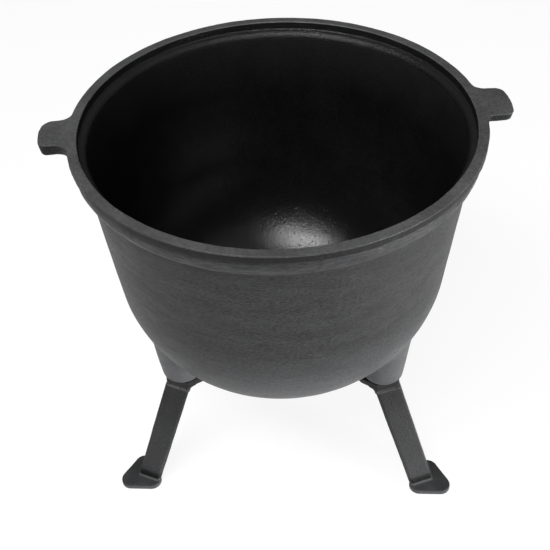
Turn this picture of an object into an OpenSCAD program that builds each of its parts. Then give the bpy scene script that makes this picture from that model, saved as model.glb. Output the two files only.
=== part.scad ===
// Footed cast iron cauldron: a deep pot with a stepped rim and two lugs, on three legs
// that are bolted up under bosses on its belly. Millimetres, +Z up.
// The origin is on the pot's axis at the level of the floor. The lugs lie along X.

/* [Rim] */
// Outside diameter of the rim
rim_d = 320; // [310:1:330]
// Height of the rim's top face above the floor
rim_z = 367; // [360:1:380]
// Inside diameter of the recess that a lid drops into
recess_d = 304; // [300:1:306]
// Depth of the lid recess
recess_depth = 9; // [6:0.5:11]
// Height of the rim's upright lip, above its bead
lip_h = 6.2; // [5:0.2:7]
// How far the bead below the lip stands out from the wall
bead_out = 6.7; // [6.2:0.1:8]
// Height of the bead
bead_h = 18; // [15:0.5:19]

/* [Pot wall and bowl] */
// Thickness of the pot's wall
wall_t = 5.5; // [4.5:0.5:6.5]
// Outside diameter of the wall at the middle of the bead
wall_d = 303; // [301:0.5:305]
// Angle by which the upper wall draws in, from upright
wall_angle = 5; // [4:0.5:6]
// Depth below the rim at which the wall starts to curve in
bowl_depth = 137; // [130:1:140]
// Outside radius of the curve from wall to belly
belly_r = 112; // [108:1:114]
// Angle of the surface, from upright, at which that curve meets the flatter bottom
belly_angle = 61; // [58:1:64]

/* [Lugs] */
// Distance between the outer ends of the two lugs
lug_span = 363; // [355:1:375]
// Width of each lug
lug_w = 33.5; // [30:0.5:38]
// Thickness of each lug
lug_t = 8.5; // [7:0.5:10]
// Radius of each lug's outer corners
lug_corner_r = 8; // [5:0.5:10]
// Radius of the fillets where each lug meets the rim
lug_fillet_r = 9; // [6:0.5:10]

/* [Bosses] */
// Distance of each boss's centre from the pot's axis
boss_place_r = 104.5; // [102:0.5:106]
// Height of each boss's seat above the floor
boss_z = 131; // [129:1:133]
// Radius of the boss at its seat
boss_r = 18.3; // [16:0.1:19]
// Angle by which a boss widens upward on each side
boss_draft = 5; // [4:0.5:7]
// Radius of the rounding round the seat's edge
boss_edge_r = 3.5; // [1:0.5:4]

/* [Legs] */
// Turn of the set of legs about the pot's axis, away from square with the lugs
leg_turn = -7; // [-10:0.5:10]
// Distance of the leg's outer corner from the pot's axis, at its bend under the boss
corner_top_r = 123.4; // [121:0.2:124]
// Distance of the leg's outer corner from the pot's axis, at the foot
corner_foot_r = 166; // [160:0.1:168]
// Width of the leg across its two flanks, at the bend and above
leg_w = 34; // [32:0.5:35]
// Width of the leg where it meets the foot
leg_foot_w = 31; // [29:0.5:34]
// Depth of the leg's corner, from the ridge to the ends of the flanks
vee_depth = 14; // [12:0.5:15]
// Thickness of each flank
flank_t = 6; // [5:0.25:6.5]
// Depth of the leg's side edges behind the flanks
edge_depth = 2.9; // [2.5:0.1:4]
// Height of the leg's upright neck, from the boss's seat down to the bend
neck_h = 11; // [10:0.5:12]
// Depth of the step where the neck stands back behind the leg's face
neck_step = 0.7; // [0.3:0.1:1]
// Thickness of the tongue, which bears on the boss
tongue_t = 8; // [7:0.5:9.5]
// Distance of the tongue's inner end from the pot's axis
tongue_inner_r = 85; // [82:1:86]
// Radius of the tongue's inner corners
tongue_corner_r = 9; // [5:1:12]
// Radius of the fillets between the tongue and the backs of the flanks
cheek_r = 7; // [5:0.5:9]

/* [Feet] */
// Thickness of each foot plate
plate_t = 6; // [5:0.5:8]
// Distance of each foot plate's centre from the pot's axis
plate_place_r = 162.6; // [157:0.1:165]
// Distance from a foot plate's centre to its three straight edges
plate_apothem = 15.2; // [14.5:0.1:17]
// Radius of a foot plate's corners
plate_corner_r = 9.4; // [8:0.1:10]

/* [Bolts] */
// Thread diameter of the leg bolts
bolt_d = 8; // [8:8]
// Length of a bolt under its head
bolt_len = 30; // [25:5:30]
// Width across the flats of the bolt's head
head_flats = 13; // [13:13]
// Height of the bolt's head
bolt_head_h = 5.3; // [5:0.1:5.5]
// Outside diameter of the plain washers
washer_d = 16; // [15:0.5:16]
// Thickness of the plain washers
washer_t = 1.6; // [1.4:0.1:1.8]
// Outside diameter of the spring washers
spring_d = 14.8; // [14:0.1:15]
// Thickness of the spring washers, drawn flat
spring_t = 2; // [1.8:0.1:2.2]

/* [Hidden] */

REAR = 90 + leg_turn;
FRONT_LEFT = REAR + 120;
FRONT_RIGHT = REAR - 120;

round_fn = 96;
small_fn = 48;

// Rim and wall
rim_r = rim_d / 2;
rim_edge_r = 1.2;
recess_r = recess_d / 2;
wall_r = wall_d / 2;
bead_centre_depth = 12.5;
wall_top_depth = bead_centre_depth + bead_h / 2;
wall_start_depth = wall_top_depth + 3;
ledge_edge_r = 2.5;

// Bowl: an arc that leaves the wall tangent, then an arc centred on the pot's axis
bend_r = wall_r - (bowl_depth - bead_centre_depth) * tan(wall_angle);
belly_cx = bend_r - belly_r * cos(wall_angle);
belly_cz = belly_r * sin(wall_angle) - bowl_depth;
base_r = belly_cx / cos(belly_angle) + belly_r;
base_cz = belly_cz - (belly_r - base_r) * sin(belly_angle);
pot_bottom_z = rim_z + base_cz - base_r;

// Legs
bend_z = boss_z - neck_h;
tongue_z = boss_z - tongue_t;
lean = atan((corner_foot_r - corner_top_r) / (bend_z - plate_t));
shank_len = (bend_z - plate_t) / cos(lean);
vee_slope = vee_depth / (leg_w / 2);
vee_inner = flank_t * sqrt(1 + vee_slope * vee_slope);
vee_back = vee_depth + edge_depth;
land_y = (vee_back - vee_inner) / vee_slope;

// Bolts
hole_clearance = 0.5;
thread_gap = 0.1;
tapped_depth = 20;
spring_slot_w = 2.4;
spring_slot_angle = 20;
washer_z = tongue_z - washer_t;
spring_z = washer_z - spring_t;

// Points on an arc round [x, y], from angle a0 to angle a1, in n equal steps
function arc(x, y, r, a0, a1, n) = [for (i = [0:n]) let (a = a0 + (a1 - a0) * i / n) [x + r * cos(a), y + r * sin(a)]];

// Points down the outside of the bead, which is half an oval, in n equal steps of its angle
function bead_outline(a0, a1, n) = [for (i = [0:n]) let (a = a0 + (a1 - a0) * i / n)
    [wall_r + bead_out * cos(a), bead_h / 2 * sin(a) - bead_centre_depth]];

// Outline of the casting from the bead down to the axis, drawn in by inset; depths count down from the rim
function bowl_outline(inset) = concat(
    arc(belly_cx, belly_cz, belly_r - inset, -wall_angle, -belly_angle, 14),
    [for (p = arc(0, base_cz, base_r - inset, -belly_angle, -90, 7)) if (p[0] < belly_cx + belly_r / 2 - inset) p]
);

// Radius of the wall's outer and inner faces at a depth below the rim
function outer_wall_r(depth) = wall_r - (depth - bead_centre_depth) * tan(wall_angle);
function inner_wall_r(depth) = outer_wall_r(depth) - wall_t / cos(wall_angle);

module place_at(angle) {
    rotate([0, 0, angle]) children();
}

// Solid of revolution inside the pot's outer surface, open hollow not yet cut
module outer_form() {
    translate([0, 0, rim_z]) rotate_extrude($fn = round_fn)
        polygon(concat(
            [[0, 0]],
            arc(rim_r - rim_edge_r, -rim_edge_r, rim_edge_r, 90, 0, 3),
            [[rim_r, -lip_h]],
            bead_outline(37, -72, 9),
            [[outer_wall_r(wall_start_depth), -wall_start_depth]],
            bowl_outline(0)
        ));
}

// Hollow of the pot: lid recess, rounded ledge, wall and bowl
module inner_form() {
    top_gap = 1;
    ledge_r = inner_wall_r(recess_depth + ledge_edge_r);
    translate([0, 0, rim_z]) rotate_extrude($fn = round_fn)
        polygon(concat(
            [[0, top_gap], [recess_r, top_gap], [recess_r, -recess_depth]],
            arc(ledge_r + ledge_edge_r, -recess_depth - ledge_edge_r, ledge_edge_r, 90, 180 - wall_angle, 4),
            bowl_outline(wall_t)
        ));
}

// One lug, pointing along +X, with its top flush with the rim's top face
module lug() {
    root_y = lug_w / 2 + lug_fillet_r;
    root_r = rim_r - rim_edge_r + lug_fillet_r;
    fillet_x = sqrt(root_r * root_r - root_y * root_y);
    meet_angle = atan(root_y / fillet_x);
    tip_x = lug_span / 2 - lug_corner_r;
    side = concat(
        arc(fillet_x, root_y, lug_fillet_r, 180 + meet_angle, 270, 6),
        arc(tip_x, lug_w / 2 - lug_corner_r, lug_corner_r, 90, 0, 6)
    );
    far_side = [for (i = [len(side) - 1:-1:0]) [side[i][0], -side[i][1]]];
    inside_x = recess_r + 3;
    translate([0, 0, rim_z - lug_t]) linear_extrude(lug_t)
        polygon(concat([[inside_x, side[0][1]]], side, far_side, [[inside_x, -side[0][1]]]));
}

// One boss, centred on Z, with its seat at the origin
module boss() {
    boss_h = 60;
    widen = tan(boss_draft);
    rotate_extrude($fn = round_fn)
        polygon(concat(
            [[0, 0]],
            arc(boss_r - boss_edge_r, boss_edge_r, boss_edge_r, -90, -boss_draft, 5),
            [[boss_r + boss_h * widen, boss_h], [0, boss_h]]
        ));
}

// Blind hole for a leg bolt, drilled up from the boss's seat
module tapped_hole() {
    hole_r = bolt_d / 2 + thread_gap;
    overlap = 1;
    translate([0, 0, -overlap]) cylinder(r = hole_r, h = tapped_depth + overlap, $fn = small_fn);
    translate([0, 0, tapped_depth]) cylinder(r1 = hole_r, r2 = 0, h = hole_r * tan(31), $fn = small_fn);
}

// The pot: one casting with its rim, lugs and bosses
module pot_body() {
    color([0.13, 0.13, 0.135]) difference() {
        union() {
            outer_form();
            for (side = [0, 180]) place_at(side) lug();
            for (a = [REAR, FRONT_LEFT, FRONT_RIGHT]) place_at(a) translate([boss_place_r, 0, boss_z]) boss();
        }
        inner_form();
        for (a = [REAR, FRONT_LEFT, FRONT_RIGHT]) place_at(a) translate([boss_place_r, 0, boss_z]) tapped_hole();
    }
}

// Section of the leg: an angle with its corner outward at the origin and flat lands on its back.
// step draws its outer faces in, and squeeze narrows it along X for the part that leans.
module leg_section(step, squeeze) {
    polygon([for (p = [
        [-step, 0],
        [-vee_depth - step, leg_w / 2], [-vee_back, leg_w / 2], [-vee_back, land_y],
        [-vee_inner, 0],
        [-vee_back, -land_y], [-vee_back, -leg_w / 2], [-vee_depth - step, -leg_w / 2]
    ]) [p[0] * squeeze, p[1]]]);
}

// The leaning part of a leg, from its foot plate up to the bend
module shank() {
    spare = 30;
    sink = 3;
    reach = 220;
    intersection() {
        translate([corner_foot_r, 0, plate_t]) rotate([0, -lean, 0]) translate([0, 0, -spare])
            linear_extrude(shank_len + 2 * spare) leg_section(0, cos(lean));
        rotate([90, 0, 90]) linear_extrude(reach) polygon([
            [-leg_foot_w / 2, plate_t - sink], [leg_foot_w / 2, plate_t - sink],
            [leg_foot_w / 2, plate_t], [leg_w / 2, bend_z],
            [-leg_w / 2, bend_z], [-leg_foot_w / 2, plate_t]
        ]);
    }
}

// The upright neck between the bend and the tongue
module neck() {
    overlap = 1;
    translate([corner_top_r, 0, bend_z]) linear_extrude(tongue_z - bend_z + overlap) leg_section(neck_step, 1);
}

// The flat tongue that runs in under the boss, drilled for the bolt
module tongue() {
    half_w = leg_w / 2;
    nose_r = corner_top_r - neck_step;
    inner = arc(tongue_inner_r + tongue_corner_r, half_w - tongue_corner_r, tongue_corner_r, 90, 180, 6);
    mirrored = [for (i = [len(inner) - 1:-1:0]) [inner[i][0], -inner[i][1]]];
    difference() {
        translate([0, 0, tongue_z]) linear_extrude(tongue_t)
            polygon(concat([[nose_r, 0], [nose_r - vee_depth, half_w]], inner, mirrored, [[nose_r - vee_depth, -half_w]]));
        translate([boss_place_r, 0, tongue_z - 1])
            cylinder(r = bolt_d / 2 + hole_clearance, h = tongue_t + 2, $fn = small_fn);
    }
}

// The two cheeks: fillets that carry the lands on the flanks' backs up into the tongue's underside
module cheeks() {
    back_x = corner_top_r - vee_back;
    centre_z = tongue_z - cheek_r;
    centre_x = back_x - (cheek_r + (centre_z - bend_z) * sin(lean)) / cos(lean);
    cheek_w = leg_w / 2 - land_y;
    inside = 1.5;
    foot_x = centre_x + cheek_r * cos(lean);
    foot_z = centre_z + cheek_r * sin(lean);
    outline = concat(
        arc(centre_x, centre_z, cheek_r, 90, lean, 6),
        [[foot_x + inside, foot_z], [back_x + inside, bend_z], [back_x + inside, tongue_z + 1], [centre_x, tongue_z + 1]]
    );
    for (y = [leg_w / 2, cheek_w - leg_w / 2])
        translate([0, y, 0]) rotate([90, 0, 0]) linear_extrude(cheek_w) polygon(outline);
}

// The foot: an equal-sided plate with round corners, one of them pointing outward
module foot_plate() {
    inner_r = 2 * (plate_apothem - plate_corner_r);
    translate([plate_place_r, 0, 0]) linear_extrude(plate_t)
        polygon([for (k = [0:2]) each arc(inner_r * cos(120 * k), inner_r * sin(120 * k), plate_corner_r,
                                          120 * k - 60, 120 * k + 60, 8)]);
}

// One leg casting, standing at the given angle
module leg(angle) {
    color([0.12, 0.12, 0.125]) place_at(angle) union() {
        tongue();
        neck();
        cheeks();
        shank();
        foot_plate();
    }
}

// One hex bolt, screwed up through a leg's tongue into its boss; its thread is drawn plain
module leg_bolt(angle) {
    color([0.35, 0.35, 0.37]) place_at(angle) translate([boss_place_r, 0, spring_z]) union() {
        translate([0, 0, -bolt_head_h]) cylinder(r = head_flats / 2 / cos(30), h = bolt_head_h, $fn = 6);
        translate([0, 0, -0.5]) cylinder(r = bolt_d / 2, h = bolt_len + 0.5, $fn = small_fn);
    }
}

// One plain washer, against the underside of a leg's tongue
module plain_washer(angle) {
    color([0.4, 0.4, 0.42]) place_at(angle) translate([boss_place_r, 0, washer_z]) difference() {
        cylinder(r = washer_d / 2, h = washer_t, $fn = small_fn);
        translate([0, 0, -1]) cylinder(r = bolt_d / 2 + 0.2, h = washer_t + 2, $fn = small_fn);
    }
}

// One spring washer, drawn flat as it is when tight, with its slanting slot
module spring_washer(angle) {
    color([0.3, 0.3, 0.32]) place_at(angle) translate([boss_place_r, 0, spring_z]) difference() {
        cylinder(r = spring_d / 2, h = spring_t, $fn = small_fn);
        translate([0, 0, -1]) cylinder(r = bolt_d / 2 + 0.2, h = spring_t + 2, $fn = small_fn);
        translate([-spring_d / 2, 0, spring_t / 2]) rotate([spring_slot_angle, 0, 0])
            cube([spring_d, spring_slot_w, 4 * spring_t], center = true);
    }
}

pot_body();
leg(FRONT_LEFT);  // leg_front_left
leg(FRONT_RIGHT);  // leg_front_right
leg(REAR);  // leg_rear
leg_bolt(FRONT_LEFT);  // bolt_front_left
leg_bolt(FRONT_RIGHT);  // bolt_front_right
leg_bolt(REAR);  // bolt_rear
plain_washer(FRONT_LEFT);  // washer_front_left
plain_washer(FRONT_RIGHT);  // washer_front_right
plain_washer(REAR);  // washer_rear
spring_washer(FRONT_LEFT);  // spring_washer_front_left
spring_washer(FRONT_RIGHT);  // spring_washer_front_right
spring_washer(REAR);  // spring_washer_rear
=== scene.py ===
"""Looks for the footed cast iron cauldron: its castings in full detail, their finishes, and the studio.

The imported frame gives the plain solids. The pot and the legs are built here again with rounded edges,
fillets and the slight unevenness of sand castings, on the same sizes, and stand for the frame's nodes.
Sizes are in metres. Depths are measured down from the rim's top face.
"""
import math
from itertools import product

import bpy
import numpy as np
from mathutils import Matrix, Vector, noise


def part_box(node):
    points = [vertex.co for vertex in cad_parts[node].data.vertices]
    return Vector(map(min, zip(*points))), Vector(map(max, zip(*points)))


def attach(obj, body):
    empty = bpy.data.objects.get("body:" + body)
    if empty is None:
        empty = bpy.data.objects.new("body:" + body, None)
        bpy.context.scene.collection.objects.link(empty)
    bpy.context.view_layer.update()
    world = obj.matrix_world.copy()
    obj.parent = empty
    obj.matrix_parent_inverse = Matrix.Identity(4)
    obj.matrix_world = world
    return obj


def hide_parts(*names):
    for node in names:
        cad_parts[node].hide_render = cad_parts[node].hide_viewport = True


bl_info = {
    "name": "Footed cauldron",
    "version": (1, 0, 0),
    "blender": (4, 5, 0),
    "location": "3D View > Sidebar > Cauldron",
    "description": "Dresses the packed cauldron in its enamel and cast iron, and lights it in a small studio",
    "category": "Object",
}

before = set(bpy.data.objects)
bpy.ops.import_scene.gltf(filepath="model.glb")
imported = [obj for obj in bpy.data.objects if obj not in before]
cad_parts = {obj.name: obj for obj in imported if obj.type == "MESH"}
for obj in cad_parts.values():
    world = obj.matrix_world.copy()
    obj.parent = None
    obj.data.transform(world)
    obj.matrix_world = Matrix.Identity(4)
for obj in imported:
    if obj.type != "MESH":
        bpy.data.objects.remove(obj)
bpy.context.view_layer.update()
POT_LOW, POT_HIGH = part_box("pot_body")
MM = 0.001
SATIN, GLOSS, SEAT, RIM_TOP, INNER_EDGE, OUTER_EDGE, LIP, BEAD = range(8)


# Settings

def length(name, description, value, **more):
    """A size in metres that a user can change."""
    return bpy.props.FloatProperty(name=name, description=description, default=value, unit="LENGTH", precision=4, **more)


def lengths(name, description, values):
    """Sizes in metres for the left and the right lug."""
    return bpy.props.FloatVectorProperty(name=name, description=description, default=values, size=2, unit="LENGTH", precision=4)


def angle(name, description, degrees):
    """An angle that a user can change, given here in degrees."""
    return bpy.props.FloatProperty(name=name, description=description, default=math.radians(degrees), unit="ROTATION")


def colour(name, description, value):
    """A linear colour that a user can change."""
    return bpy.props.FloatVectorProperty(name=name, description=description, default=value, subtype="COLOR", min=0, max=1)


class PotSizes(bpy.types.PropertyGroup):
    """Sizes of the pot casting, the same as the solid's."""
    rim_radius: length("Rim radius", "Outside radius of the rim", 0.160)
    recess_radius: length("Recess radius", "Radius of the recess that a lid drops into", 0.152)
    recess_depth: length("Recess depth", "Depth of the lid recess", 0.009)
    lip_height: length("Lip height", "Height of the rim's upright lip", 0.0062)
    bead_depth: length("Bead depth", "Depth of the middle of the bead below the rim", 0.0125)
    bead_out: length("Bead projection", "How far the bead stands out from the wall", 0.0067)
    bead_height: length("Bead height", "Height of the bead below the lip", 0.018)
    wall_radius: length("Wall radius", "Outside radius of the wall at the middle of the bead", 0.1515)
    wall_thickness: length("Wall thickness", "Thickness of the wall", 0.0055)
    wall_angle: angle("Wall angle", "Angle by which the wall draws in", 5)
    bowl_depth: length("Bowl depth", "Depth at which the wall starts to curve in", 0.137)
    belly_radius: length("Belly radius", "Radius of the curve from wall to belly", 0.112)
    belly_angle: angle("Belly angle", "Where that curve meets the flatter bottom", 61)
    edge_radius: length("Edge radius", "Rounding of the rim's edges", 0.001)
    ledge_middle: length("Ledge middle", "Depth of the middle of the ledge for a lid", 0.0076)
    ledge_slope: angle("Ledge slope", "Angle of the ledge's flattest part from upright", 68)
    ledge_top_curve: length("Ledge upper curve", "Radius where the recess runs into the ledge", 0.0014)
    ledge_low_curve: length("Ledge lower curve", "Radius where the ledge runs into the wall", 0.006)
    lug_width: lengths("Lug widths", "Width of the left and the right lug", (0.0335, 0.038))
    lug_thickness: lengths("Lug thicknesses", "Thickness of the left and the right lug at the end", (0.0106, 0.0078))
    lug_back_corner: lengths("Lug back corners", "Radius of the lugs' outer corners toward the rear leg", (0.0102, 0.0086))
    lug_front_corner: lengths("Lug front corners", "Radius of the lugs' other outer corners", (0.0055, 0.007))
    lug_back_fillet: lengths("Lug back fillets", "Radius where the lugs run into the rim toward the rear leg", (0.009, 0.009))
    lug_front_fillet: lengths("Lug front fillets", "Radius where the lugs run into the rim at the front", (0.0125, 0.005))
    lug_bulge: length("Lug bulge", "How far the lugs' ends bulge", 0.0009)
    lug_under: length("Lug underside rounding", "Rounding of the lugs' lower edges", 0.0026)
    lug_draft: length("Lug draft", "How far the lugs' sides draw in from top to bottom", 0.001)
    boss_place: length("Boss place", "Distance of each boss from the pot's axis", 0.1045)
    boss_height: length("Boss seat height", "Height of the bosses' seats above the floor", 0.131)
    boss_radius: length("Boss radius", "Radius of a boss at its seat", 0.0183)
    boss_draft: angle("Boss draft", "Angle by which a boss widens upward", 5)
    boss_edge: length("Boss edge", "Rounding round a boss's seat", 0.0035)
    boss_fillet: length("Boss fillet", "Reach of the fillet where a boss meets the belly", 0.009)
    hole_radius: length("Hole radius", "Radius of the tapped holes", 0.0041)
    hole_depth: length("Hole depth", "Depth of the tapped holes", 0.020)
    unevenness: length("Unevenness", "How far the sand casting strays from true", 0.00022)


class LegSizes(bpy.types.PropertyGroup):
    """Sizes of a leg casting, the same as the solid's."""
    turn: angle("Turn", "Place of the rear leg round the pot's axis", 83)
    bend_radius: length("Bend radius", "Distance of the leg's ridge from the pot's axis at its bend", 0.1234)
    foot_radius: length("Foot radius", "Distance of the leg's ridge from the pot's axis at the foot", 0.166)
    bend_height: length("Bend height", "Height of the bend above the floor", 0.120)
    width: length("Width", "Width across the two flanks, at the bend and above", 0.034)
    foot_width: length("Width at the foot", "Width across the two flanks where they meet the foot", 0.031)
    ridge_depth: length("Ridge depth", "Depth from the ridge to the ends of the flanks", 0.014)
    side_depth: length("Side depth", "Depth of the leg's side edges", 0.0029)
    flank: length("Flank thickness", "Thickness of each flank", 0.006)
    step: length("Neck step", "Depth by which the neck stands back behind the leg's face", 0.0016)
    tongue: length("Tongue thickness", "Thickness of the tongue", 0.008)
    tongue_end: length("Tongue end", "Distance of the tongue's inner end from the pot's axis", 0.085)
    tongue_corner: length("Tongue corner", "Radius of the tongue's inner corners", 0.009)
    cheek: length("Cheek radius", "Fillet between the tongue and the backs of the flanks", 0.007)
    plate_place: length("Foot place", "Distance of the foot plate's centre from the pot's axis", 0.1626)
    plate_reach: length("Foot reach", "Distance from a foot plate's centre to its straight edges", 0.0152)
    plate_corner: length("Foot corner", "Radius of the foot plate's corners", 0.0094)
    plate: length("Foot thickness", "Thickness of the foot plate", 0.006)
    edge: length("Edge", "Rounding of the leg's edges", 0.0011)
    grid: length("Grid", "Size of the leg's faces", 0.0009)


class Finishes(bpy.types.PropertyGroup):
    """Colours and gloss of the finishes."""
    satin: colour("Satin enamel", "Enamel outside", (0.0195, 0.0199, 0.0208))
    gloss: colour("Gloss enamel", "Enamel inside", (0.0062, 0.0062, 0.0064))
    seat: colour("Lid seat", "Enamel of the recess and ledge for a lid", (0.008, 0.0081, 0.0085))
    # the rim's top is lighter partly from wear and partly as painted light on its upward face
    rim: colour("Worn rim", "Enamel on the rim's top, worn a little", (0.0705, 0.071, 0.0728))
    # the inner edge is worn thin and painted lighter still as a highlight along its rounding
    inner_edge: colour("Worn inner edge", "Enamel worn thin on the rim's inner edge", (0.08, 0.081, 0.083))
    outer_edge: colour("Worn outer edge", "Enamel on the rim's outer edge", (0.046, 0.0465, 0.048))
    # the lip's darker colour is painted shade on the upright face under the rim
    lip: colour("Lip", "Thicker enamel on the lip and under the lugs", (0.0075, 0.0077, 0.0081))
    # the bead is lighter as painted light on its rounded face, and worn a little
    bead: colour("Worn bead", "Enamel on the bead, worn a little", (0.030, 0.0305, 0.032))
    iron: colour("Cast iron", "Matt black iron of the legs", (0.0115, 0.0117, 0.0122))
    steel: colour("Blackened steel", "Bolts and washers", (0.09, 0.09, 0.095))


class Studio(bpy.types.PropertyGroup):
    """Light and camera."""
    surroundings: bpy.props.FloatProperty(name="Surroundings", description="Mean brightness of the room", default=0.24, min=0)
    slant: bpy.props.FloatVectorProperty(
        name="Slant", description="How much brighter the room is toward each axis", default=(0.035, -0.12, 0.0), subtype="XYZ")
    softbox: bpy.props.FloatProperty(name="Softbox", description="Power of the softbox above the pot", default=20, min=0, unit="POWER")
    softbox_width: length("Softbox width", "Width of the softbox", 1.14)
    softbox_height: length("Softbox height", "Height of the softbox", 0.45)
    softbox_place: bpy.props.FloatVectorProperty(
        name="Softbox place", description="Where the softbox hangs", default=(-0.47, -0.65, 1.57), subtype="TRANSLATION")
    side_light: bpy.props.FloatProperty(name="Side light", description="Power of the light at the right front", default=30, min=0, unit="POWER")
    side_place: bpy.props.FloatVectorProperty(
        name="Side light place", description="Where the side light stands", default=(1.45, -1.1, 0.22), subtype="TRANSLATION")
    lens: bpy.props.FloatProperty(name="Lens", description="Focal length of the camera in millimetres", default=56.95, min=1)
    camera_place: bpy.props.FloatVectorProperty(
        name="Camera place", description="Where the camera stands", default=(-0.03459, -0.56548, 0.73644), subtype="TRANSLATION")
    camera_turn: bpy.props.FloatVectorProperty(
        name="Camera turn", description="How the camera is turned", default=[math.radians(a) for a in (46.543, 1.856, -4.599)],
        subtype="EULER")


# Meshes

def make_piece(name, points, faces, node_names, materials):
    """A smooth mesh object from arrays, which stands for the named nodes of the frame."""
    mesh = bpy.data.meshes.new(name)
    mesh.from_pydata([tuple(p) for p in points.tolist()], [], [tuple(f) for f in faces])
    mesh.validate()
    mesh.polygons.foreach_set("use_smooth", [True] * len(mesh.polygons))
    for material in materials:
        mesh.materials.append(material)
    piece = bpy.data.objects.new(name, mesh)
    bpy.context.scene.collection.objects.link(piece)
    even = piece.modifiers.new("even_shading", "WEIGHTED_NORMAL")
    even.weight = 50
    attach(piece, "root")
    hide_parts(*node_names)
    return piece


def arc(centre, radius, start, end, count):
    """Points (r, z) on an arc, with angles in degrees."""
    turn = np.radians(np.linspace(start, end, count))
    return np.column_stack([centre[0] + radius * np.cos(turn), centre[1] + radius * np.sin(turn)])


def between(first, last, count, ends=(True, True)):
    """Evenly spaced points on a line, with or without its two ends."""
    steps = np.linspace(0, 1, count)[None if ends[0] else 1:None if ends[1] else -1, None]
    return np.array(first) * (1 - steps) + np.array(last) * steps


def vertex_normals(points, faces):
    """Unit normals of a mesh of quads and triangles."""
    normals = np.zeros_like(points)
    for count in (3, 4):
        group = np.array([f for f in faces if len(f) == count])
        if not len(group):
            continue
        corner = points[group]
        cross = np.cross(corner[:, 2] - corner[:, 0], corner[:, -1] - corner[:, 1])
        for k in range(count):
            np.add.at(normals, group[:, k], cross)
    return normals / np.maximum(np.linalg.norm(normals, axis=1, keepdims=True), 1e-12)


def wander(points, wavelength, seed):
    """Smooth noise from -1 to 1 over the points."""
    shift = Vector((seed * 3.1, seed * 7.7, seed * 1.3))
    return np.array([noise.noise(Vector(p) / wavelength + shift) for p in points])


# The pot

class Outline:
    """The pot's turned outline: a wall cone, the belly's arc and an arc centred on the pot's axis."""

    def __init__(self, sizes, top, inset):
        self.top = top
        self.slope = math.tan(sizes.wall_angle)
        self.middle = sizes.bead_depth
        self.wall_radius = sizes.wall_radius
        self.drawn_in = inset / math.cos(sizes.wall_angle)
        bend_radius = sizes.wall_radius - (sizes.bowl_depth - self.middle) * self.slope
        self.belly_x = bend_radius - sizes.belly_radius * math.cos(sizes.wall_angle)
        self.belly_z = top - sizes.bowl_depth + sizes.belly_radius * math.sin(sizes.wall_angle)
        base = self.belly_x / math.cos(sizes.belly_angle) + sizes.belly_radius
        self.base_z = self.belly_z + (base - sizes.belly_radius) * math.sin(sizes.belly_angle)
        self.belly_radius = sizes.belly_radius - inset
        self.base_radius = base - inset
        self.join = self.belly_x + self.belly_radius * math.cos(sizes.belly_angle)
        self.angles = math.degrees(sizes.wall_angle), math.degrees(sizes.belly_angle)
        self.bowl_depth = sizes.bowl_depth

    def wall(self, depth):
        """Radius of the wall at a depth below the rim."""
        return self.wall_radius - (depth - self.middle) * self.slope - self.drawn_in

    def rows(self, start_depth, wall_rows, belly_rows, base_rows):
        """Points (r, z) from a depth on the wall down to just short of the axis."""
        wall_angle, belly_angle = self.angles
        belly = arc((self.belly_x, self.belly_z), self.belly_radius, -wall_angle, -belly_angle, belly_rows)
        base = arc((0, self.base_z), self.base_radius, -belly_angle, -89, base_rows)
        wall = between((self.wall(start_depth), self.top - start_depth), belly[0], wall_rows, (True, False))
        return np.vstack([wall, belly, base[1:]])

    def height(self, radius):
        """Height of the belly's surface above the floor, at a distance from the axis."""
        radius = np.asarray(radius, float)
        belly = self.belly_z - np.sqrt(np.maximum(self.belly_radius ** 2 - (radius - self.belly_x) ** 2, 0))
        base = self.base_z - np.sqrt(np.maximum(self.base_radius ** 2 - radius ** 2, 0))
        return np.where(radius > self.join, belly, base)


def lug_columns(sizes, which):
    """Plan outline of the left (0) or right (1) lug, drawn along +X, from its front to its back.

    Gives points, outward normals, how far each is part of the lug, and where the lug meets the rim.
    """
    half = sizes.lug_width[which] / 2
    sides, meets = [], []
    for corner_radius, fillet_radius in ((sizes.lug_front_corner[which], sizes.lug_front_fillet[which]),
                                         (sizes.lug_back_corner[which], sizes.lug_back_fillet[which])):
        root_y = half + fillet_radius
        fillet_x = math.sqrt((sizes.rim_radius + fillet_radius) ** 2 - root_y ** 2)
        meet = math.degrees(math.atan2(root_y, fillet_x))
        meets.append(math.radians(meet))
        corner_x, corner_y = POT_HIGH.x - sizes.lug_bulge - corner_radius, half - corner_radius
        fillet = arc((fillet_x, root_y), fillet_radius, 180 + meet, 270, 11)
        side = between((fillet_x, half), (corner_x, half), 6, (False, False))
        lean = math.degrees(2 * math.atan2(sizes.lug_bulge, corner_y))
        corner = arc((corner_x, corner_y), corner_radius, 90, lean / 2, 12)
        steps = np.linspace(0, 1, 5)[1:, None]
        end = corner[-1] * (1 - steps) + np.array([POT_HIGH.x, 0]) * steps
        end[:, 0] += (sizes.lug_bulge * 0.4 * np.sin(np.pi * steps))[:, 0]
        end_normal = np.column_stack([np.ones(4), np.radians(lean) * (1 - steps[:, 0])])
        points = np.vstack([fillet, side, corner, end])
        normals = np.vstack([np.array([fillet_x, root_y]) - fillet, np.tile([0, 1], (len(side), 1)), corner - (corner_x, corner_y),
                             end_normal])
        points[:, 0] = np.minimum(points[:, 0], POT_HIGH.x)
        sides.append((points, normals / np.linalg.norm(normals, axis=1, keepdims=True)))
    share = np.ones(len(sides[0][0]))
    share[:11] = np.linspace(0, 1, 11) ** 0.7
    flip = np.array([1, -1])
    (near, near_normals), (far, far_normals) = sides
    points = np.vstack([near * flip, far[-2::-1]])
    normals = np.vstack([near_normals * flip, far_normals[-2::-1]])
    return points, normals, np.concatenate([share, share[-2::-1]]), meets


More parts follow.
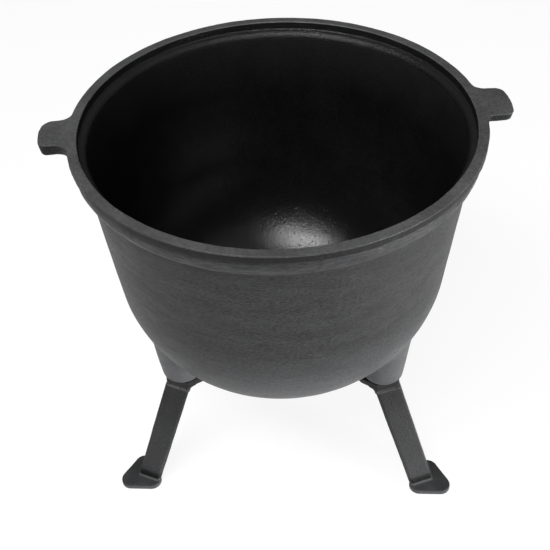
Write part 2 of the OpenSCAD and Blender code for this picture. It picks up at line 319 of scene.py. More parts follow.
def rim_columns(sizes, plain_step):
    """All columns round the rim: azimuth, outline point, outward normal, lug share and added thickness."""

    def plain(start, end):
        turn = np.linspace(start, end, int(round((end - start) / plain_step)) + 1)[1:-1]
        circle = np.column_stack([np.cos(turn), np.sin(turn)])
        return turn, circle * sizes.rim_radius, circle, np.zeros(len(turn)), np.zeros(len(turn))

    thicker = [t - sizes.lip_height for t in sizes.lug_thickness]
    points, normals, share, (front, back) = lug_columns(sizes, 1)
    right = (np.linspace(-front, back, len(points)), points, normals, share, thicker[1] * share)
    points, normals, share, (left_front, left_back) = lug_columns(sizes, 0)
    mirror = np.array([-1, 1])
    left = (np.linspace(math.pi - left_back, math.pi + left_front, len(points)), (points * mirror)[::-1],
            (normals * mirror)[::-1], share[::-1], thicker[0] * share[::-1])
    parts = (right, plain(back, math.pi - left_back), left, plain(math.pi + left_front, 2 * math.pi - front))
    return [np.concatenate(found) for found in zip(*parts)]


def rim_rows(sizes, top, columns, outer):
    """Rows of points from the land's inner edge, over the land and lip, to the foot of the bead."""
    azimuth, outline, outward, share, thicker = columns
    ray = np.column_stack([np.cos(azimuth), np.sin(azimuth)])
    edge = sizes.edge_radius
    rows = []

    def add(plan, height):
        rows.append(np.column_stack([plan, np.broadcast_to(height, len(plan))]))

    small = 0.9 * edge
    for turn in np.radians((180, 158, 135, 112, 90)):
        add(ray * (sizes.recess_radius + small + small * math.cos(turn)), top - small + small * math.sin(turn))
    land_in, land_out = ray * (sizes.recess_radius + small), outline - outward * edge
    for step in np.linspace(0, 1, 7)[1:-1]:
        add(land_in * (1 - step) + land_out * step, top)
    for turn in np.radians((90, 67, 45, 22, 0)):
        add(land_out + outward * edge * math.cos(turn), top - edge + edge * math.sin(turn))
    bottom = top - sizes.lip_height - thicker
    under = 0.7 * edge + (sizes.lug_under - 0.7 * edge) * share
    drawn = outline - outward * (sizes.lug_draft * share)[:, None]
    for step in (0.35, 0.7):
        add(outline * (1 - step) + drawn * step, (top - edge) * (1 - step) + (bottom + under) * step)
    for turn in np.radians((0, -30, -60, -90)):
        add(drawn - outward * (under * (1 - math.cos(turn)))[:, None], bottom + under + under * math.sin(turn))
    half = sizes.bead_height / 2
    start = np.radians(37 - 13 * share)
    bead_plan = ray * (sizes.wall_radius + sizes.bead_out * np.cos(start))[:, None]
    bead_top = top - sizes.bead_depth + half * np.sin(start)
    lip_plan = drawn - outward * under[:, None]
    for step in (0.35, 0.7):
        add(lip_plan * (1 - step) + bead_plan * step, bottom * (1 - step) + bead_top * step)
    foot_turn = math.radians(-62)
    for step in np.linspace(0, 1, 14):
        turn = start * (1 - step) + foot_turn * step
        add(ray * (sizes.wall_radius + sizes.bead_out * np.cos(turn))[:, None], top - sizes.bead_depth + half * np.sin(turn))
    foot = np.array([sizes.wall_radius + sizes.bead_out * math.cos(foot_turn), top - sizes.bead_depth + half * math.sin(foot_turn)])
    corner_depth, wall_depth = sizes.bead_depth + half + 0.0018, sizes.bead_depth + half + 0.0045
    corner = np.array([outer.wall(corner_depth), top - corner_depth])
    wall = np.array([outer.wall(wall_depth), top - wall_depth])
    for step in (0.25, 0.5, 0.75):
        radius, height = (1 - step) ** 2 * foot + 2 * step * (1 - step) * corner + step ** 2 * wall
        add(ray * radius, height)
    return rows, wall_depth


def turned_rows(outline, azimuth):
    """Rows of points round the axis for each (r, z) of an outline."""
    ray = np.column_stack([np.cos(azimuth), np.sin(azimuth)])
    return [np.column_stack([ray * r, np.full(len(ray), z)]) for r, z in outline]


def boss_patch(sizes, outer, centre, border):
    """Rings from a border on the belly in to the boss, down its side and over its seat into the tapped hole."""
    way = border[:, :2] - centre
    reach = np.linalg.norm(way, axis=1)
    way /= reach[:, None]
    widen = math.tan(sizes.boss_draft)
    seat = sizes.boss_height

    def belly(out):
        return outer.height(np.linalg.norm(centre + way * out[:, None], axis=1))

    low, high = np.full(len(reach), sizes.boss_radius), np.full(len(reach), 2 * sizes.boss_radius)
    for _ in range(30):
        middle = (low + high) / 2
        above = seat + (middle - sizes.boss_radius) / widen > belly(middle)
        high, low = np.where(above, middle, high), np.where(above, low, middle)
    meet = (low + high) / 2
    meet_z = belly(meet)
    # the belly's part of each line, by length along the surface
    steps = np.linspace(0, 1, 60)
    out = meet[:, None] + (reach - meet)[:, None] * steps
    heights = np.stack([belly(out[:, k]) for k in range(len(steps))], 1)
    run = np.concatenate([np.zeros((len(reach), 1)), np.cumsum(np.hypot(np.diff(out), np.diff(heights)), 1)], 1)

    def on_belly(distance):
        r = np.array([np.interp(d, run[i], out[i]) for i, d in enumerate(distance)])
        return np.column_stack([r, belly(r)])

    wall_low = seat + sizes.boss_edge
    wall_length = meet_z - wall_low
    fillet_up = np.minimum(sizes.boss_fillet, 0.55 * run[:, -1])
    fillet_down = np.minimum(sizes.boss_fillet, 0.75 * wall_length)
    lines = []
    for step in np.linspace(1, 0, 9)[1:-1]:
        lines.append(on_belly(fillet_up + (run[:, -1] - fillet_up) * step))
    first, corner = on_belly(fillet_up), np.column_stack([meet, meet_z])
    last = corner - np.column_stack([fillet_down * widen, fillet_down])
    for t in np.linspace(0, 1, 8):
        lines.append((1 - t) ** 2 * first + 2 * t * (1 - t) * corner + t * t * last)
    wall_end = np.column_stack([np.full(len(reach), sizes.boss_radius + sizes.boss_edge * widen), np.full(len(reach), wall_low)])
    for t in (0.33, 0.66):
        lines.append(last * (1 - t) + wall_end * t)
    draft = math.degrees(sizes.boss_draft)
    flat = sizes.boss_radius - sizes.boss_edge
    for r, z in arc((flat, seat + sizes.boss_edge), sizes.boss_edge, -draft, -90, 6):
        lines.append(np.column_stack([np.full(len(reach), r), np.full(len(reach), z)]))
    hole = sizes.hole_radius
    for r, z in ((0.6 * flat, seat), (hole + 0.0006, seat), (hole, seat + 0.0006), (hole, seat + sizes.hole_depth)):
        lines.append(np.column_stack([np.full(len(reach), r), np.full(len(reach), z)]))
    rings = [np.column_stack([centre + way * line[:, :1], line[:, 1]]) for line in lines]
    tip = np.array([*centre, seat + sizes.hole_depth + 0.6 * hole])
    return rings, tip


def pot_mesh(sizes, top, leg_azimuths):
    """Points and faces of the whole casting, closed, and the finish of each point, SATIN to BEAD."""
    columns = rim_columns(sizes, math.radians(1.25))
    azimuth = columns[0]
    outer, inner = Outline(sizes, top, 0), Outline(sizes, top, sizes.wall_thickness)
    bend, upper, lower = sizes.ledge_slope, sizes.ledge_top_curve, sizes.ledge_low_curve
    width = sizes.recess_radius - inner.wall(sizes.ledge_middle + 0.004)
    slope_width = width - (upper + lower) * (1 - math.cos(bend))
    drop = slope_width / math.tan(bend) / 2
    start = sizes.ledge_middle - drop - upper * math.sin(bend)
    end = sizes.ledge_middle + drop + lower * math.sin(bend)
    bowl_in = inner.rows(end + 0.001, 46, 40, 30)[::-1]
    turns = np.linspace(0, bend, 9)
    convex = np.column_stack([sizes.recess_radius - width + lower * (1 - np.cos(turns)), top - end + lower * np.sin(turns)])
    concave = np.column_stack([sizes.recess_radius - upper * (1 - np.cos(turns)), top - start - upper * np.sin(turns)])[::-1]
    slope = between(convex[-1], concave[0], 5, (False, False))
    seat_rows = len(bowl_in)
    recess = between((sizes.recess_radius, top - start), (sizes.recess_radius, top - 0.9 * sizes.edge_radius), 5, (False, False))
    rows = turned_rows(np.vstack([bowl_in, convex, slope, concave, recess]), azimuth)
    inside_rows = len(rows)
    over, wall_depth = rim_rows(sizes, top, columns, outer)
    rows += over
    first_wall = len(rows)
    bowl_out = outer.rows(wall_depth, 40, 40, 24)
    rows += turned_rows(bowl_out, azimuth)
    count = len(azimuth)
    points = [np.vstack(rows)]
    index = np.arange(len(rows) * count).reshape(len(rows), count)
    keep = np.ones((len(rows) - 1, count), bool)
    faces = []
    total = len(rows) * count
    radius_of = bowl_out[:, 0]
    high_row = first_wall + int(np.argmin(np.abs(np.where(bowl_out[:, 1] < top - sizes.bowl_depth, radius_of, 9) - 0.1393)))
    low_row = first_wall + int(np.argmin(np.abs(radius_of - 0.066)))
    for place in leg_azimuths:
        centre = sizes.boss_place * np.array([math.cos(place), math.sin(place)])
        off = (azimuth - place + math.pi) % (2 * math.pi) - math.pi
        order = np.argsort(off)
        chosen = order[(off[order] > -math.radians(19.5)) & (off[order] < math.radians(19.5))]
        for row in range(high_row, low_row):
            keep[row, chosen[:-1]] = False
        border = np.concatenate([index[high_row, chosen], index[high_row + 1:low_row, chosen[-1]],
                                 index[low_row, chosen[::-1]], index[high_row + 1:low_row, chosen[0]][::-1]])
        rings, tip = boss_patch(sizes, outer, centre, points[0][border])
        around = len(border)
        previous = border
        for ring in rings:
            current = total + np.arange(around)
            total += around
            points.append(ring)
            faces += [(previous[k], previous[(k + 1) % around], current[(k + 1) % around], current[k]) for k in range(around)]
            previous = current
        points.append(tip[None])
        faces += [(previous[k], previous[(k + 1) % around], total) for k in range(around)]
        total += 1
    for row, column in np.argwhere(keep):
        after = (column + 1) % count
        faces.append((index[row, column], index[row, after], index[row + 1, after], index[row + 1, column]))
    for row, height in ((0, inner.base_z - inner.base_radius), (len(rows) - 1, outer.base_z - outer.base_radius)):
        points.append(np.array([[0, 0, height]]))
        for column in range(count):
            pair = (index[row, (column + 1) % count], index[row, column])
            faces.append((*(pair if row == 0 else pair[::-1]), total))
        total += 1
    finish = np.full(total, SATIN)
    finish[:inside_rows * count] = GLOSS
    finish[total - 2] = GLOSS
    finish[index[seat_rows:inside_rows]] = SEAT
    # the rim top, inner edge and bead rows take colours painted lighter for the light on them, the lip rows painted
    # shade
    for zone, start, end in ((RIM_TOP, 0, 14), (INNER_EDGE, 0, 4), (OUTER_EDGE, 11, 14), (LIP, 14, 21), (BEAD, 21, 38)):
        finish[index[inside_rows + start:inside_rows + end]] = zone
    return np.vstack(points), [tuple(int(i) for i in f) for f in faces], finish


def rough_cast(points, faces, sizes, top, leg_azimuths):
    """Moves the pot's points a little, as a sand mould would, and nicks the rim's edges."""
    normals = vertex_normals(points, faces)
    if normals[np.argmax(points[:, 2]), 2] < 0:
        normals = -normals
    seat = points[:, 2] < sizes.boss_height + 0.0005
    for place in leg_azimuths:
        centre = sizes.boss_place * np.array([math.cos(place), math.sin(place)])
        seat |= (np.linalg.norm(points[:, :2] - centre, axis=1) < sizes.hole_radius + 0.0012) & (points[:, 2] < sizes.boss_height + 0.024)
    slow = wander(points, 0.034, 1) + 0.5 * wander(points, 0.013, 2)
    amount = np.where(seat, 0, slow * sizes.unevenness)
    radius = np.hypot(points[:, 0], points[:, 1])
    bead_z = top - sizes.bead_depth - 0.1 * sizes.bead_height
    bead = np.clip(1.3 - np.abs(points[:, 2] - bead_z) / (0.5 * sizes.bead_height), 0, 1) * (radius > sizes.wall_radius - 0.0015)
    drawn_out = points * (0.16, 0.16, 1)
    amount = amount + bead * 0.0005 * (wander(drawn_out, 0.0034, 5) + 0.4 * wander(drawn_out, 0.0015, 6))
    rim = (points[:, 2] > top - 0.0075) & (radius > sizes.recess_radius - 0.0005)
    nick = wander(points, 0.0045, 3) + 0.7 * wander(points, 0.0022, 4)
    edge = np.clip(1 - np.abs(radius - sizes.rim_radius) / 0.0016, 0, 1) * np.clip(1 - np.abs(points[:, 2] - top) / 0.003, 0, 1)
    amount = amount + np.where(rim, 0.00016 * nick - 0.0004 * edge * np.clip(nick - 0.35, 0, 1), 0)
    moved = points + normals * amount[:, None]
    moved[:, 2] = np.minimum(moved[:, 2], top)
    moved[:, 0] = np.clip(moved[:, 0], POT_LOW.x, POT_HIGH.x)
    moved[:, 1] = np.clip(moved[:, 1], POT_LOW.y, POT_HIGH.y)
    return moved


# The legs

def inset_polygon(corners, distance):
    """The polygon's edges moved inward by a distance; corners run anticlockwise."""
    corners = np.array(corners, float)
    along = np.roll(corners, -1, 0) - corners
    along /= np.linalg.norm(along, axis=1, keepdims=True)
    inward = np.column_stack([-along[:, 1], along[:, 0]])
    before_along, before_inward = np.roll(along, 1, 0), np.roll(inward, 1, 0)
    cross = before_along[:, 0] * along[:, 1] - before_along[:, 1] * along[:, 0]
    step = inward * distance - before_inward * distance
    reach = np.where(np.abs(cross) > 1e-9, (step[:, 0] * along[:, 1] - step[:, 1] * along[:, 0]) / np.where(np.abs(cross) > 1e-9, cross, 1), 0)
    return corners + before_inward * distance + before_along * reach[:, None]


def polygon_distance(x, y, corners):
    """Signed distance to a polygon, negative inside."""
    best = np.full(x.shape, np.inf)
    inside = np.zeros(x.shape, bool)
    for (ax, ay), (bx, by) in zip(corners, np.roll(corners, -1, 0)):
        ex, ey = bx - ax, by - ay
        t = np.clip(((x - ax) * ex + (y - ay) * ey) / (ex * ex + ey * ey), 0, 1)
        best = np.minimum(best, (x - ax - ex * t) ** 2 + (y - ay - ey * t) ** 2)
        if abs(by - ay) > 1e-12:
            crosses = ((ay > y) != (by > y)) & (x < ex * (y - ay) / ey + ax)
            inside ^= crosses
    return np.where(inside, -1, 1) * np.sqrt(best)


def rounded_slab(plan, along, low, high, rounding):
    """Distance to a plan shape stretched from low to high, with its edges rounded."""
    a = plan + rounding
    b = np.maximum(low - along, along - high) + rounding
    return np.minimum(np.maximum(a, b), 0) + np.hypot(np.maximum(a, 0), np.maximum(b, 0)) - rounding


def melt(first, second, reach):
    """Union of two distances with a fillet of about the given reach."""
    mix = np.clip(0.5 + 0.5 * (second - first) / reach, 0, 1)
    return second * (1 - mix) + first * mix - reach * mix * (1 - mix)


class LegForm:
    """Distance field of one leg in its own frame: X away from the pot's axis, Z up from the floor."""

    def __init__(self, sizes, boss_place, seat):
        self.sizes, self.boss_place, self.seat = sizes, boss_place, seat
        s = sizes
        self.lean = math.atan2(s.foot_radius - s.bend_radius, s.bend_height - s.plate)
        self.tongue_low = seat - s.tongue
        slope = s.ridge_depth / (s.width / 2)
        inner = s.flank * math.hypot(1, slope)
        back = s.ridge_depth + s.side_depth
        self.land = (back - inner) / slope
        self.back = back
        half = s.width / 2

        def section(step, squeeze):
            corners = [(-step, 0), (-s.ridge_depth - step, half), (-back, half), (-back, self.land), (-inner, 0),
                       (-back, -self.land), (-back, -half), (-s.ridge_depth - step, -half)]
            return inset_polygon([(x * squeeze, y) for x, y in corners], s.edge)

        self.shank_section, self.neck_section = section(0, math.cos(self.lean)), section(s.step, 1)
        nose = s.bend_radius - s.step
        inner_corner = arc((s.tongue_end + s.tongue_corner, half - s.tongue_corner), s.tongue_corner, 90, 180, 7)
        plan = np.vstack([[(nose, 0), (nose - s.ridge_depth, half)], inner_corner, (inner_corner * (1, -1))[::-1],
                          [(nose - s.ridge_depth, -half)]])
        self.tongue_plan = inset_polygon(plan, s.edge)
        back_x = s.bend_radius - back
        centre_z = self.tongue_low - s.cheek
        centre_x = back_x - (s.cheek + (centre_z - s.bend_height) * math.sin(self.lean)) / math.cos(self.lean)
        curve = arc((centre_x, centre_z), s.cheek, math.degrees(self.lean), 90, 8)
        self.cheek_side = np.vstack([curve, [(centre_x, self.tongue_low + 0.002), (back_x + 0.002, self.tongue_low + 0.002),
                                             (back_x + 0.002, s.bend_height), (curve[0][0] + 0.002, curve[0][1])]])
        point = 2 * (s.plate_reach - s.plate_corner)
        self.foot_plan = np.array([(s.plate_place + point * math.cos(t), point * math.sin(t)) for t in np.radians((0, 120, 240))])

    def __call__(self, at):
        s = self.sizes
        x, y, z = at[:, 0], at[:, 1], at[:, 2]
        dx, dz = x - s.foot_radius, z - s.plate
        across = dx * math.cos(self.lean) + dz * math.sin(self.lean)
        half = s.foot_width / 2 + (s.width - s.foot_width) / 2 * np.clip(dz / (s.bend_height - s.plate), 0, 1)
        side = np.maximum(polygon_distance(across, y, self.shank_section), np.abs(y) - half + s.edge)
        groove = 0.0005 * np.exp(-((dz - 0.0016) / 0.0008) ** 2)
        shank = side - s.edge + groove
        shank = np.maximum(shank, np.maximum(z - s.bend_height, 0.003 - z))
        neck = polygon_distance(x - s.bend_radius, y, self.neck_section) - s.edge
        neck = np.maximum(neck, np.maximum(s.bend_height - 0.002 - z, z - self.tongue_low - 0.002))
        tongue = polygon_distance(x, y, self.tongue_plan) - s.edge
        tongue = rounded_slab(tongue, z, self.tongue_low, self.seat, 0.0016)
        cheek_y = (s.width / 2 + self.land) / 2
        cheek_half = (s.width / 2 - self.land) / 2
        cheek = np.maximum(polygon_distance(x, z, self.cheek_side), np.abs(np.abs(y) - cheek_y) - cheek_half)
        foot = rounded_slab(polygon_distance(x, y, self.foot_plan) - s.plate_corner, z, 0, s.plate, 0.0013)
        body = melt(melt(melt(shank, neck, 0.0002), tongue, 0.0008), cheek, 0.0012)
        body = melt(body, foot, 0.0014)
        hole = 0.0045 - np.hypot(x - self.boss_place, y)
        return np.maximum(body, np.where(z > self.tongue_low - 0.003, hole, -1))


def surface_net(field, low, high, step):
    """Quads on the zero level of a distance field, with one point in each cell that the level crosses."""
    counts = [int(math.ceil((b - a) / step)) + 1 for a, b in zip(low, high)]
    axes = [a + step * np.arange(n) for a, n in zip(low, counts)]
    grid = np.stack(np.meshgrid(*axes, indexing="ij"), -1)
    value = field(grid.reshape(-1, 3)).reshape(counts)
    corner = {c: value[tuple(slice(k, n - 1 + k) for k, n in zip(c, counts))] for c in product((0, 1), repeat=3)}
    stack = np.stack(list(corner.values()))
    crossed = (stack.min(0) < 0) & (stack.max(0) >= 0)
    number = np.full(crossed.shape, -1)
    number[crossed] = np.arange(crossed.sum())
    cells = np.argwhere(crossed)
    total, weight = np.zeros((len(cells), 3)), np.zeros(len(cells))
    for start in corner:
        for axis in range(3):
            if start[axis]:
                continue
            end = tuple(1 if k == axis else start[k] for k in range(3))
            a, b = corner[start][crossed], corner[end][crossed]
            cut = (a < 0) != (b < 0)
            share = np.where(cut, a / np.where(cut, a - b, 1), 0)
            place = np.array(start, float) + np.outer(share, np.eye(3)[axis])
            total += np.where(cut[:, None], place, 0)
            weight += cut
    points = np.array(low) + step * (cells + total / weight[:, None])
    for _ in range(2):
        here = field(points)
        slope = np.stack([field(points + 1e-5 * e) - here for e in np.eye(3)], 1) / 1e-5
        points = points - np.clip(slope * (here / np.maximum((slope ** 2).sum(1), 0.2))[:, None], -0.5 * step, 0.5 * step)
    faces = []
    for axis in range(3):
        a, b = (axis + 1) % 3, (axis + 2) % 3
        below = [slice(1, n - 1) for n in counts]
        below[axis] = slice(0, counts[axis] - 1)
        above = list(below)
        above[axis] = slice(1, counts[axis])
        first, last = value[tuple(below)] < 0, value[tuple(above)] < 0
        for out, cut in ((False, first & ~last), (True, ~first & last)):
            cell = np.argwhere(cut)
            cell += np.array([0 if k == axis else 1 for k in range(3)])
            quad = []
            for da, db in ((1, 1), (0, 1), (0, 0), (1, 0)):
                near = cell.copy()
                near[:, a] -= da
                near[:, b] -= db
                quad.append(number[near[:, 0], near[:, 1], near[:, 2]])
            quad = np.stack(quad if not out else quad[::-1], 1)
            faces.append(quad)
    return points, np.vstack(faces).tolist()


# Finishes

def cast_finish(name, colour, roughness, shine=0.5, grain=0.0007, grain_size=0.0018, stretch=1.7, wave=0.0004, pits=0.0003,
                cavity=0.5, stain=0.25, gleam=0.02, painted_brightening=None, painted_lines=()):
    """Sand-cast iron under a thin black coat: grain with dark hollows, slow waves, pits, stains and uneven gloss.

    stretch draws the grain out level. gleam is how far the gloss varies over the grain. painted_brightening, as (end,
    start, gain), paints light:
    it makes the coat paler from the level where it starts to the level where it ends. painted_lines, each as (level,
    reach, gain), are painted highlights where the gain is above 0 and painted shade where it is below 0, along lines at
    a height.
    """
    material = bpy.data.materials.new(name)
    material.use_nodes = True
    tree = material.node_tree
    shader = tree.nodes["Principled BSDF"]
    shader.inputs["Specular IOR Level"].default_value = shine
    where = tree.nodes.new("ShaderNodeTexCoord")
    flat = tree.nodes.new("ShaderNodeMapping")
    flat.inputs["Scale"].default_value = (1, 1, stretch)
    tree.links.new(where.outputs["Object"], flat.inputs["Vector"])
    split = tree.nodes.new("ShaderNodeSeparateXYZ")
    tree.links.new(where.outputs["Object"], split.inputs["Vector"])

    def noise_of(size, detail, rough=0.5):
        node = tree.nodes.new("ShaderNodeTexNoise")
        node.inputs["Scale"].default_value = 1 / size
        node.inputs["Detail"].default_value = detail
        node.inputs["Roughness"].default_value = rough
        tree.links.new(flat.outputs["Vector"], node.inputs["Vector"])
        return node.outputs["Fac"]

    def fit(source, from_low, from_high, to_low, to_high):
        node = tree.nodes.new("ShaderNodeMapRange")
        for socket, value in (("From Min", from_low), ("From Max", from_high), ("To Min", to_low), ("To Max", to_high)):
            node.inputs[socket].default_value = value
        tree.links.new(source, node.inputs["Value"])
        return node.outputs["Result"]

    def bumped(height, distance, below=None):
        node = tree.nodes.new("ShaderNodeBump")
        node.inputs["Distance"].default_value = distance
        tree.links.new(height, node.inputs["Height"])
        if below is not None:
            tree.links.new(below, node.inputs["Normal"])
        return node.outputs["Normal"]

    def combine(operation, first, second):
        node = tree.nodes.new("ShaderNodeMath")
        node.operation = operation
        for socket, value in zip(node.inputs, (first, second)):
            if isinstance(value, float):
                socket.default_value = value
            else:
                tree.links.new(value, socket)
        return node.outputs["Value"]

    grain_height = noise_of(grain_size, 3, 0.65)
    blotch = noise_of(0.03, 4, 0.6)
    cells = tree.nodes.new("ShaderNodeTexVoronoi")
    cells.inputs["Scale"].default_value = 260
    tree.links.new(where.outputs["Object"], cells.inputs["Vector"])
    pit = fit(cells.outputs["Distance"], 0.0, 0.22, 0.0, 1.0)
    normal = bumped(noise_of(0.014, 2), wave)
    normal = bumped(pit, pits, normal)
    tree.links.new(bumped(grain_height, grain, normal), shader.inputs["Normal"])
    spread = combine("ADD", fit(blotch, 0.3, 0.7, 0.03, -0.03), fit(grain_height, 0.34, 0.66, gleam, -gleam))
    tree.links.new(combine("ADD", spread, roughness), shader.inputs["Roughness"])
    shade = combine("MULTIPLY", fit(grain_height, 0.34, 0.66, 1 - cavity, 1 + cavity), fit(blotch, 0.3, 0.7, 1 - stain, 1 + stain))
    # painted light: the coat grows paler between two heights
    if painted_brightening:
        shade = combine("ADD", shade, fit(split.outputs["Z"], painted_brightening[0], painted_brightening[1], painted_brightening[2], 0))
    # painted highlights where the gain is above 0, painted shade where it is below 0, as lines at a height
    for level, reach, gain in painted_lines:
        off = combine("ABSOLUTE", combine("SUBTRACT", split.outputs["Z"], float(level)), 0.0)
        shade = combine("MULTIPLY", shade, fit(off, 0.3 * reach, reach, 1 + gain, 1))
    mix = tree.nodes.new("ShaderNodeMix")
    mix.data_type = "RGBA"
    mix.inputs["A"].default_value = (0, 0, 0, 1)
    mix.inputs["B"].default_value = (*[6 * c for c in colour], 1)
    tree.links.new(fit(shade, 0, 6, 0, 1), mix.inputs["Factor"])
    tree.links.new(mix.outputs["Result"], shader.inputs["Base Color"])
    return material


def pale_floor():
    """White floor: it lights the pot as a pale floor does, and shows white with only a light shadow."""
    material = bpy.data.materials.new("pale_floor")
    material.use_nodes = True
    nodes, links = material.node_tree.nodes, material.node_tree.links
    paint = nodes["Principled BSDF"]
    paint.inputs["Base Color"].default_value = (0.85, 0.85, 0.85, 1)
    paint.inputs["Roughness"].default_value = 0.9
    white = nodes.new("ShaderNodeEmission")
    white.inputs["Strength"].default_value = 1.1
    path = nodes.new("ShaderNodeLightPath")
    seen = nodes.new("ShaderNodeMath")
    seen.operation = "MAXIMUM"
    also = nodes.new("ShaderNodeMath")
    also.operation = "MAXIMUM"
    share = nodes.new("ShaderNodeMath")
    share.operation = "MULTIPLY"
    share.inputs[1].default_value = 0.8
    both = nodes.new("ShaderNodeMixShader")
    links.new(path.outputs["Is Camera Ray"], seen.inputs[0])
    links.new(path.outputs["Is Glossy Ray"], seen.inputs[1])
    links.new(seen.outputs["Value"], also.inputs[0])
    links.new(path.outputs["Is Transmission Ray"], also.inputs[1])
    links.new(also.outputs["Value"], share.inputs[0])
    links.new(share.outputs["Value"], both.inputs["Fac"])
    links.new(paint.outputs["BSDF"], both.inputs[1])
    links.new(white.outputs["Emission"], both.inputs[2])
    links.new(both.outputs["Shader"], nodes["Material Output"].inputs["Surface"])
    return material


def leg_azimuths(context):
    """Azimuth of each leg, by the leg's name."""
    turn = context.scene.leg_sizes.turn
    return {"rear": turn, "front_left": turn + 2 * math.pi / 3, "front_right": turn - 2 * math.pi / 3}


class CAULDRON_OT_pot(bpy.types.Operator):
    """Build the pot casting: rim, lugs, bowl and bosses in one closed surface"""
    bl_idname = "cauldron.pot"
    bl_label = "Build pot"

    def execute(self, context):
        sizes, look = context.scene.pot_sizes, context.scene.finishes
        top = POT_HIGH.z
        points, faces, finish = pot_mesh(sizes, top, leg_azimuths(context).values())
        points = rough_cast(points, faces, sizes, top, leg_azimuths(context).values())
        finishes = [
            # satin: painted reflection of the floor, paler toward the belly's bottom, and painted shade as a dark line
            # at the bosses' seats
            cast_finish("satin_enamel", look.satin, 0.48, shine=0.275, grain=0.0008, grain_size=0.0026, stretch=3.2, cavity=0.85,
                        painted_brightening=(0.174, 0.25, 3.8), painted_lines=[(sizes.boss_height, 0.0014, -1)]),
            # gloss: painted light, paler toward the top of the inside wall
            cast_finish("gloss_enamel", look.gloss, 0.2, shine=0.44, grain=0.00022, grain_size=0.0017, stretch=1, wave=0.0001,
                        pits=0.00014, cavity=0.35, gleam=0.055, painted_brightening=(top - 0.015, top - 0.06, 1.3)),
            cast_finish("seat_enamel", look.seat, 0.31, shine=0.42, grain=0.0006, grain_size=0.0016, wave=0.0004, pits=0.0003, gleam=0.05),
            # rim top: wear, and painted light on the upward face
            cast_finish("rim_wear_and_painted_light", look.rim, 0.45, shine=0.4, grain=0.0003, cavity=0.26),
            # inner edge: wear, and a painted highlight along the rounding
            cast_finish("inner_edge_wear_and_painted_highlight", look.inner_edge, 0.36, shine=0.5, grain=0.0004, cavity=0.3),
            cast_finish("worn_outer_edge", look.outer_edge, 0.44, shine=0.26, grain=0.0003, cavity=0.3),
            # lip: painted shade on the upright face under the rim
            cast_finish("lip_painted_shade", look.lip, 0.5, shine=0.19),
            # bead: painted light on its rounded face, and a little wear
            cast_finish("bead_wear_and_painted_light", look.bead, 0.46, shine=0.32, stretch=5, grain_size=0.006, cavity=0.5),
        ]
        piece = make_piece("pot", points, faces, ["pot_body"], finishes)
        part = [int(max(set(found), key=found.count)) for found in ([finish[i] for i in face.vertices] for face in piece.data.polygons)]
        piece.data.polygons.foreach_set("material_index", part)
        return {"FINISHED"}


class CAULDRON_OT_legs(bpy.types.Operator):
    """Build the three leg castings from one form, each with its own unevenness"""
    bl_idname = "cauldron.legs"
    bl_label = "Build legs"

    def execute(self, context):
        sizes, pot = context.scene.leg_sizes, context.scene.pot_sizes
        form = LegForm(sizes, pot.boss_place, pot.boss_height)
        low = (sizes.tongue_end - 0.003, -sizes.width / 2 - 0.0036, -0.0031)
        high = (sizes.plate_place + 2 * sizes.plate_reach + 0.001, sizes.width / 2 + 0.0036, pot.boss_height + 0.0031)
        points, faces = surface_net(form, low, high, sizes.grid)
        # painted shade where the tongue meets the boss, on the neck and on the shank above the foot; painted highlights
        # along the bend and the foot joint;
        # the foot plate's edge painted lighter as lit; a slightly darker line at the plate's top edge
        painted_lines = [(pot.boss_height, 0.0035, -1), (sizes.bend_height + 0.0045, 0.005, -0.4), (sizes.bend_height, 0.002, 4),
                 (sizes.plate + 0.0045, 0.006, -0.9), (sizes.plate + 0.0007, 0.0009, 3), (sizes.plate / 2, sizes.plate / 2, 2.5),
                 (sizes.plate - 0.0002, 0.0006, -0.3)]
        # painted light: each leg's iron grows paler toward the foot by its own amount, for the light that falls on that
        # leg
        paler = {"front_left": 2.4, "front_right": 2.7, "rear": 1.8}
        rest = (points[:, 2] < 0.0008) | (points[:, 2] > pot.boss_height - 0.0008)
        normals = vertex_normals(points, faces)
        for number, (name, place) in enumerate(leg_azimuths(context).items()):
            shaped = points + normals * np.where(rest, 0, wander(points, 0.016, 10 + number) * 0.00022)[:, None]
            cos, sin = math.cos(place), math.sin(place)
            turned = np.column_stack([shaped[:, 0] * cos - shaped[:, 1] * sin, shaped[:, 0] * sin + shaped[:, 1] * cos, shaped[:, 2]])
            turned[:, 2] = np.clip(turned[:, 2], 0, pot.boss_height)
            # a copy of the iron for each leg, each with its own painted light
            iron = cast_finish("iron_with_painted_light_" + name, context.scene.finishes.iron, 0.5, shine=0.26, grain=0.0004, stretch=1,
                               painted_brightening=(sizes.plate, sizes.bend_height, paler[name]), painted_lines=painted_lines)
            make_piece("leg_casting_" + name, turned, faces, ["leg_" + name], [iron])
        return {"FINISHED"}


class CAULDRON_OT_fasteners(bpy.types.Operator):
    """Give the bolts and washers their blackened steel"""
    bl_idname = "cauldron.fasteners"
    bl_label = "Finish fasteners"

    def execute(self, context):
        steel = cast_finish("blackened_steel", context.scene.finishes.steel, 0.42, grain=0.00004, grain_size=0.0006, stretch=1,
                            wave=0.0001, pits=0.00005, cavity=0.2)
        steel.node_tree.nodes["Principled BSDF"].inputs["Metallic"].default_value = 1
        for name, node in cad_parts.items():
            if name.startswith(("bolt_", "washer_", "spring_washer_")):
                for slot in range(len(node.data.materials)):
                    node.data.materials[slot] = steel
                if not node.data.materials:
                    node.data.materials.append(steel)
        return {"FINISHED"}


def area_light(name, power, width, height, place, target):
    """A soft oval lamp that faces a point."""
    data = bpy.data.lights.new(name, "AREA")
    data.energy = power
    data.shape = "ELLIPSE"
    data.size = width
    data.size_y = height
    lamp = bpy.data.objects.new(name, data)
    lamp.location = place
    lamp.rotation_euler = (Vector(target) - Vector(place)).to_track_quat("-Z", "Y").to_euler()
    bpy.context.scene.collection.objects.link(lamp)


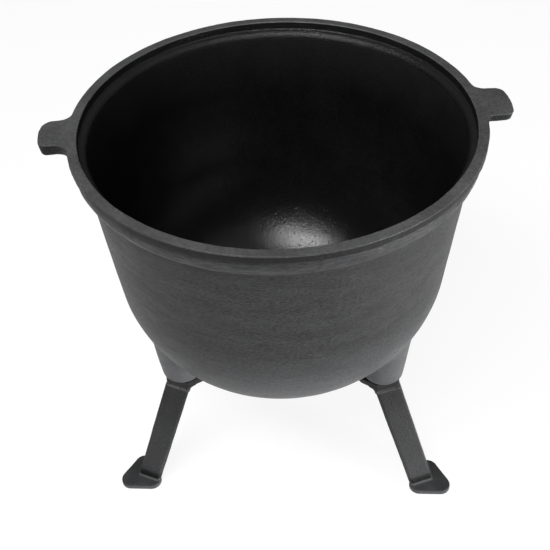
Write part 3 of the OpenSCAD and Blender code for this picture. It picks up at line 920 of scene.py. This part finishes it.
class CAULDRON_OT_studio(bpy.types.Operator):
    """Set the pale floor, the soft lights and the camera"""
    bl_idname = "cauldron.studio"
    bl_label = "Build studio"

    def execute(self, context):
        scene, studio = context.scene, context.scene.studio
        scene.view_settings.view_transform = "Standard"
        bpy.ops.mesh.primitive_plane_add(size=40, location=(0, 0, -0.0002))
        floor = context.object
        floor.name = "floor"
        floor.data.materials.append(pale_floor())
        world = bpy.data.worlds.new("room")
        scene.world = world
        world.use_nodes = True
        nodes, links = world.node_tree.nodes, world.node_tree.links
        way = nodes.new("ShaderNodeTexCoord")
        slant = nodes.new("ShaderNodeVectorMath")
        slant.operation = "DOT_PRODUCT"
        slant.inputs[1].default_value = studio.slant
        level = nodes.new("ShaderNodeMath")
        level.inputs[1].default_value = studio.surroundings
        links.new(way.outputs["Generated"], slant.inputs[0])
        links.new(slant.outputs["Value"], level.inputs[0])
        links.new(level.outputs["Value"], nodes["Background"].inputs["Strength"])
        nodes["Background"].inputs["Color"].default_value = (1, 1, 1, 1)
        area_light("softbox", studio.softbox, studio.softbox_width, studio.softbox_height, studio.softbox_place, (0, 0, 0.16))
        area_light("side_light", studio.side_light, 0.45, 0.45, studio.side_place, (0, 0, 0.2))
        data = bpy.data.cameras.new("camera")
        data.lens = studio.lens
        camera = bpy.data.objects.new("camera", data)
        camera.location = studio.camera_place
        camera.rotation_euler = studio.camera_turn
        scene.collection.objects.link(camera)
        scene.camera = camera
        return {"FINISHED"}


class CAULDRON_PT_panel(bpy.types.Panel):
    """The cauldron's settings and steps, in the sidebar"""
    bl_label = "Cauldron"
    bl_space_type = "VIEW_3D"
    bl_region_type = "UI"
    bl_category = "Cauldron"

    def draw(self, context):
        for group in GROUPS:
            box = self.layout.box()
            for name in group[1].__annotations__:
                box.prop(getattr(context.scene, group[0]), name)
        for step in STEPS:
            self.layout.operator(step.bl_idname)


GROUPS = (("pot_sizes", PotSizes), ("leg_sizes", LegSizes), ("finishes", Finishes), ("studio", Studio))
STEPS = (CAULDRON_OT_pot, CAULDRON_OT_legs, CAULDRON_OT_fasteners, CAULDRON_OT_studio)


def register():
    for each in (*[g[1] for g in GROUPS], *STEPS, CAULDRON_PT_panel):
        bpy.utils.register_class(each)
    for name, group in GROUPS:
        setattr(bpy.types.Scene, name, bpy.props.PointerProperty(type=group))


def unregister():
    for name, _ in GROUPS:
        delattr(bpy.types.Scene, name)
    for each in reversed((*[g[1] for g in GROUPS], *STEPS, CAULDRON_PT_panel)):
        bpy.utils.unregister_class(each)


def main():
    register()
    bpy.ops.cauldron.pot()
    bpy.ops.cauldron.legs()
    bpy.ops.cauldron.fasteners()
    bpy.ops.cauldron.studio()


if __name__ == "__main__":
    main()
